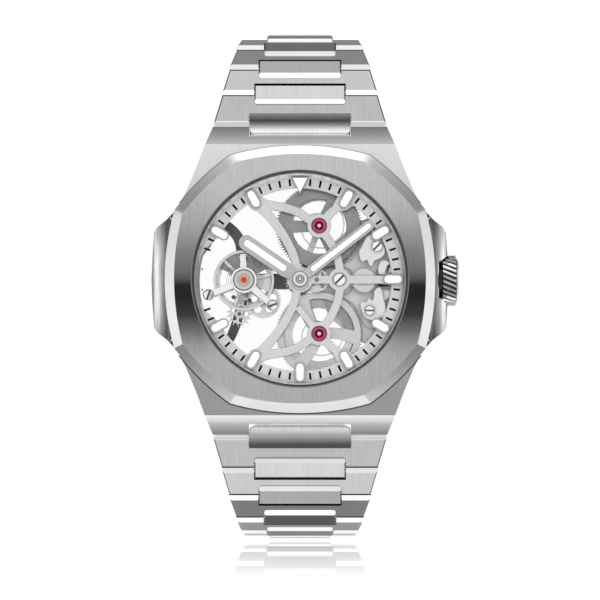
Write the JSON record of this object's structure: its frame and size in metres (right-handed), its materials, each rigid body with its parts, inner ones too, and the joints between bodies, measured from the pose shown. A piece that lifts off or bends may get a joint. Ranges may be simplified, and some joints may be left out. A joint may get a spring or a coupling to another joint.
{
  "type": "skeleton wristwatch",
  "caption": "Octagonal-bezel steel skeleton wristwatch with a rotating escapement cage, spoked barrels, baton hands and a closed H-link bracelet with folding clasp.",
  "frame": {"origin": "on the hands' axis, in the plane of the case back's outer face", "axes": "+Z to 12 o'clock, +X to 3 o'clock and the crown, +Y out of the case back, so the dial faces -Y"},
  "size_m": [0.0441, 0.0402, 0.0748],
  "materials": {
    "anthracite": "satin black coating",
    "barrel_grey": "circular brushed",
    "barrel_light": "circular brushed",
    "bridge_steel": "brushed with polished edges",
    "dial_ring_steel": "brushed, printed minute marks",
    "gasket_blue": "matt",
    "index_steel_lume": "polished with white luminous fill",
    "plate_rhodium": "fine matt",
    "ruby": "polished synthetic ruby",
    "sapphire": "polished",
    "spring_blue": "polished",
    "steel_brushed": "vertical brushed",
    "steel_polished": "polished",
    "wheel_steel": "brushed"
  },
  "bodies": {
    "case": {"mid_case": "steel_brushed", "bezel": "steel_brushed", "crystal": "sapphire", "crystal_gasket": "gasket_blue", "case_back": "steel_brushed", "case_back_glass": "sapphire", "case_back_screws": "steel_polished", "dial_ring": "dial_ring_steel", "hour_indices": "index_steel_lume", "end_links": "steel_brushed", "main_plate": "plate_rhodium", "top_bridge": "bridge_steel", "bridge_jewels": "ruby", "bridge_screws": "steel_polished", "keyless_plates": "plate_rhodium", "cage_support": "anthracite"},
    "minute": {"centre_arbor": "wheel_steel", "minute_hand": "index_steel_lume"},
    "hour": {"hour_wheel": "wheel_steel", "hour_hand": "index_steel_lume"},
    "motion_wheel": {"minute_wheel": "wheel_steel"},
    "drum_upper": {"barrel_upper": "barrel_grey"},
    "drum_lower": {"barrel_lower": "barrel_light"},
    "cage": {"cage_base": "anthracite", "cage_bridge": "bridge_steel", "cage_screws": "steel_polished"},
    "balance": {"balance_wheel": "steel_polished", "hairspring": "spring_blue"},
    "escape": {"escape_wheel": "wheel_steel"},
    "pallets": {"pallet_fork": "wheel_steel"},
    "third": {"third_wheel": "wheel_steel"},
    "lever": {"setting_lever": "wheel_steel"},
    "crown": {"crown": "steel_polished", "winding_stem": "wheel_steel"},
    "winding_wheel": {"crown_wheel": "wheel_steel"},
    "link_12_01": {"link_12_01": "steel_brushed"},
    "link_12_02": {"link_12_02": "steel_brushed"},
    "link_12_03": {"link_12_03": "steel_brushed"},
    "link_12_04": {"link_12_04": "steel_brushed"},
    "link_12_05": {"link_12_05": "steel_brushed"},
    "link_12_06": {"link_12_06": "steel_brushed"},
    "link_12_07": {"link_12_07": "steel_brushed"},
    "link_12_08": {"link_12_08": "steel_brushed"},
    "link_12_09": {"link_12_09": "steel_brushed"},
    "link_12_10": {"link_12_10": "steel_brushed"},
    "link_06_01": {"link_06_01": "steel_brushed"},
    "link_06_02": {"link_06_02": "steel_brushed"},
    "link_06_03": {"link_06_03": "steel_brushed"},
    "link_06_04": {"link_06_04": "steel_brushed"},
    "link_06_05": {"link_06_05": "steel_brushed"},
    "link_06_06": {"link_06_06": "steel_brushed"},
    "link_06_07": {"link_06_07": "steel_brushed"},
    "link_06_08": {"link_06_08": "steel_brushed"},
    "link_06_09": {"link_06_09": "steel_brushed"},
    "link_06_10": {"link_06_10": "steel_brushed"},
    "clasp_cover": {"clasp_cover": "steel_brushed"},
    "clasp_blade_inner": {"clasp_blade_inner": "steel_brushed"},
    "clasp_blade_outer": {"clasp_blade_outer": "steel_brushed"},
    "push_right": {"push_piece_right": "steel_polished"},
    "push_left": {"push_piece_left": "steel_polished"}
  },
  "joints": [
    {"name": "minute_turn", "type": "hinge", "parent": "case", "child": "minute", "pos_m": [0, -0.0092, 0], "axis": [0, 1, 0], "continuous": true},
    {"name": "hour_turn", "type": "hinge", "parent": "case", "child": "hour", "pos_m": [0, -0.0082, 0], "axis": [0, 1, 0], "continuous": true},
    {"name": "motion_wheel_turn", "type": "hinge", "parent": "case", "child": "motion_wheel", "pos_m": [0.0024, -0.006, 0], "axis": [0, 1, 0], "continuous": true},
    {"name": "drum_upper_turn", "type": "hinge", "parent": "case", "child": "drum_upper", "pos_m": [0.00275, -0.005, 0.00775], "axis": [0, 1, 0], "continuous": true},
    {"name": "drum_lower_turn", "type": "hinge", "parent": "case", "child": "drum_lower", "pos_m": [0.00275, -0.005, -0.00775], "axis": [0, 1, 0], "continuous": true},
    {"name": "cage_turn", "type": "hinge", "parent": "case", "child": "cage", "pos_m": [-0.00807, -0.004, 0], "axis": [0, 1, 0], "continuous": true},
    {"name": "third_turn", "type": "hinge", "parent": "case", "child": "third", "pos_m": [-0.00529, -0.003, -0.00286], "axis": [0, 1, 0], "continuous": true},
    {"name": "escape_turn", "type": "hinge", "parent": "cage", "child": "escape", "pos_m": [-0.00874, -0.004, -0.0048], "axis": [0, 1, 0], "continuous": true},
    {"name": "balance_swing", "type": "hinge", "parent": "cage", "child": "balance", "pos_m": [-0.00807, -0.0054, 0], "axis": [0, 1, 0], "range_deg": [-135, 135]},
    {"name": "pallet_rock", "type": "hinge", "parent": "cage", "child": "pallets", "pos_m": [-0.00854, -0.0045, -0.00241], "axis": [0, 1, 0], "range_deg": [-5, 5]},
    {"name": "crown_pull", "type": "slide", "parent": "case", "child": "lever", "axis": [1, 0, 0], "range_m": [0, 0.001]},
    {"name": "crown_turn", "type": "hinge", "parent": "lever", "child": "crown", "pos_m": [0.02, -0.0046, 0], "axis": [1, 0, 0], "continuous": true},
    {"name": "winding_wheel_turn", "type": "hinge", "parent": "case", "child": "winding_wheel", "pos_m": [0.0092, -0.0055, 0], "axis": [0, 1, 0], "continuous": true},
    {"name": "hinge_12_01", "type": "hinge", "parent": "case", "child": "link_12_01", "pos_m": [0, -0.00435, 0.02344], "axis": [1, 0, 0], "range_deg": [0, 12]},
    {"name": "hinge_12_02", "type": "hinge", "parent": "link_12_01", "child": "link_12_02", "pos_m": [0, -0.00288, 0.02748], "axis": [1, 0, 0], "range_deg": [0, 12]},
    {"name": "hinge_12_03", "type": "hinge", "parent": "link_12_02", "child": "link_12_03", "pos_m": [0, -0.0006, 0.03113], "axis": [1, 0, 0], "range_deg": [0, 16]},
    {"name": "hinge_12_04", "type": "hinge", "parent": "link_12_03", "child": "link_12_04", "pos_m": [0, 0.0026, 0.034], "axis": [1, 0, 0], "range_deg": [0, 21.5]},
    {"name": "hinge_12_05", "type": "hinge", "parent": "link_12_04", "child": "link_12_05", "pos_m": [0, 0.00663, 0.03551], "axis": [1, 0, 0], "range_deg": [0, 14.5]},
    {"name": "hinge_12_06", "type": "hinge", "parent": "link_12_05", "child": "link_12_06", "pos_m": [0, 0.0109, 0.03596], "axis": [1, 0, 0], "range_deg": [0, 16]},
    {"name": "hinge_12_07", "type": "hinge", "parent": "link_12_06", "child": "link_12_07", "pos_m": [0, 0.01514, 0.03521], "axis": [1, 0, 0], "range_deg": [0, 18]},
    {"name": "hinge_12_08", "type": "hinge", "parent": "link_12_07", "child": "link_12_08", "pos_m": [0, 0.01893, 0.03319], "axis": [1, 0, 0], "range_deg": [0, 18]},
    {"name": "hinge_12_09", "type": "hinge", "parent": "link_12_08", "child": "link_12_09", "pos_m": [0, 0.02192, 0.0301], "axis": [1, 0, 0], "range_deg": [0, 16]},
    {"name": "hinge_12_10", "type": "hinge", "parent": "link_12_09", "child": "link_12_10", "pos_m": [0, 0.02394, 0.0263], "axis": [1, 0, 0], "range_deg": [0, 14]},
    {"name": "hinge_06_01", "type": "hinge", "parent": "case", "child": "link_06_01", "pos_m": [0, -0.00435, -0.02344], "axis": [-1, 0, 0], "range_deg": [0, 12]},
    {"name": "hinge_06_02", "type": "hinge", "parent": "link_06_01", "child": "link_06_02", "pos_m": [0, -0.00288, -0.02748], "axis": [-1, 0, 0], "range_deg": [0, 12]},
    {"name": "hinge_06_03", "type": "hinge", "parent": "link_06_02", "child": "link_06_03", "pos_m": [0, -0.0006, -0.03113], "axis": [-1, 0, 0], "range_deg": [0, 16]},
    {"name": "hinge_06_04", "type": "hinge", "parent": "link_06_03", "child": "link_06_04", "pos_m": [0, 0.0026, -0.034], "axis": [-1, 0, 0], "range_deg": [0, 21.5]},
    {"name": "hinge_06_05", "type": "hinge", "parent": "link_06_04", "child": "link_06_05", "pos_m": [0, 0.00663, -0.03551], "axis": [-1, 0, 0], "range_deg": [0, 14.5]},
    {"name": "hinge_06_06", "type": "hinge", "parent": "link_06_05", "child": "link_06_06", "pos_m": [0, 0.0109, -0.03596], "axis": [-1, 0, 0], "range_deg": [0, 16]},
    {"name": "hinge_06_07", "type": "hinge", "parent": "link_06_06", "child": "link_06_07", "pos_m": [0, 0.01514, -0.03521], "axis": [-1, 0, 0], "range_deg": [0, 18]},
    {"name": "hinge_06_08", "type": "hinge", "parent": "link_06_07", "child": "link_06_08", "pos_m": [0, 0.01893, -0.03319], "axis": [-1, 0, 0], "range_deg": [0, 18]},
    {"name": "hinge_06_09", "type": "hinge", "parent": "link_06_08", "child": "link_06_09", "pos_m": [0, 0.02192, -0.0301], "axis": [-1, 0, 0], "range_deg": [0, 16]},
    {"name": "hinge_06_10", "type": "hinge", "parent": "link_06_09", "child": "link_06_10", "pos_m": [0, 0.02394, -0.0263], "axis": [-1, 0, 0], "range_deg": [0, 14]},
    {"name": "clasp_strand", "type": "hinge", "parent": "link_12_10", "child": "clasp_cover", "pos_m": [0, 0.02498, 0.02213], "axis": [1, 0, 0], "range_deg": [0, 3]},
    {"name": "clasp_open", "type": "hinge", "parent": "clasp_cover", "child": "clasp_blade_inner", "pos_m": [0, 0.02589, -0.01885], "axis": [1, 0, 0], "range_deg": [0, 40]},
    {"name": "clasp_unfold", "type": "hinge", "parent": "clasp_blade_inner", "child": "clasp_blade_outer", "pos_m": [0, 0.02555, 0.01695], "axis": [-1, 0, 0], "range_deg": [0, 32]},
    {"name": "push_right_in", "type": "slide", "parent": "clasp_cover", "child": "push_right", "axis": [-1, 0, 0], "range_m": [0, 0.0004]},
    {"name": "push_left_in", "type": "slide", "parent": "clasp_cover", "child": "push_left", "axis": [1, 0, 0], "range_m": [0, 0.0004]}
  ],
  "couplings": [
    {"joint": "hour_turn", "follows": "minute_turn", "ratio": 0.083333},
    {"joint": "motion_wheel_turn", "follows": "minute_turn", "ratio": -0.33333},
    {"joint": "drum_upper_turn", "follows": "minute_turn", "ratio": -0.33333},
    {"joint": "drum_lower_turn", "follows": "minute_turn", "ratio": -0.33333},
    {"joint": "third_turn", "follows": "cage_turn", "ratio": -0.61538},
    {"joint": "escape_turn", "follows": "cage_turn", "ratio": 6},
    {"joint": "winding_wheel_turn", "follows": "crown_turn", "ratio": -0.375}
  ]
}
